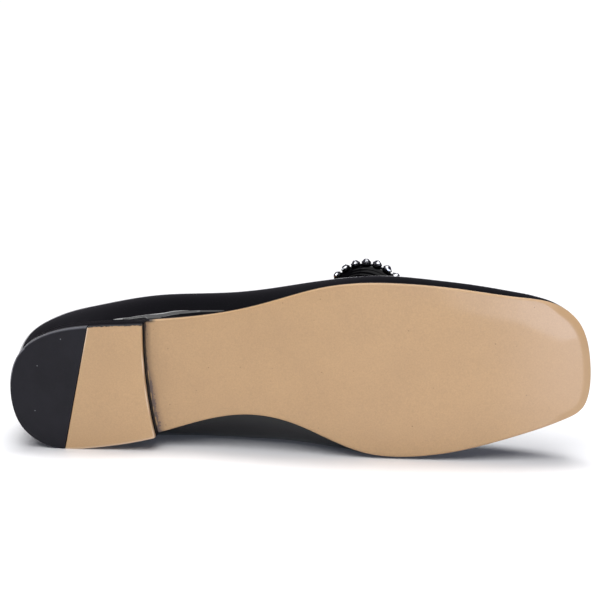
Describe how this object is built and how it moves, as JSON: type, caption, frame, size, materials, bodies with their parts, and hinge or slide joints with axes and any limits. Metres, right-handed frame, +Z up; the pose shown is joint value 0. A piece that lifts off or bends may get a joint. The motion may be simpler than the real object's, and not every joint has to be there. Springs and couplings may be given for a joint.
{
  "type": "ballet flat",
  "caption": "Black patent leather ballet flat for the right foot, lying on its inner side, with a tan leather sole, a low heel with a rubber tip and a ribbon bow edged with clear stones.",
  "frame": {"origin": "On the floor under the middle of the shoe as it lies on its inner side", "axes": "+X from heel to toe along the floor, +Y out of the collar with the sole facing -Y, +Z up to the outer side of the foot"},
  "size_m": [0.2472, 0.0668, 0.076],
  "materials": {
    "Sole_leather": "smooth waxed vegetable-tanned leather",
    "Lining_leather": "matte lining leather",
    "Heel_edge_paint": "satin black edge ink on stacked leather",
    "Tip_rubber": "matte black rubber",
    "Black_patent": "mirror-gloss patent coat",
    "Clear_stone": "faceted stones with foil backs in metal cups"
  },
  "bodies": {
    "root": {"outsole": "Sole_leather", "insole": "Lining_leather", "heel_block": "Heel_edge_paint", "lift_leather": "Sole_leather", "lift_rubber_tip": "Tip_rubber", "upper": "Black_patent", "bow_knot": "Black_patent", "bow_loop_lateral": "Black_patent", "bow_loop_medial": "Black_patent", "stone_chain_lateral": "Clear_stone", "stone_chain_medial": "Clear_stone"}
  },
  "joints": []
}
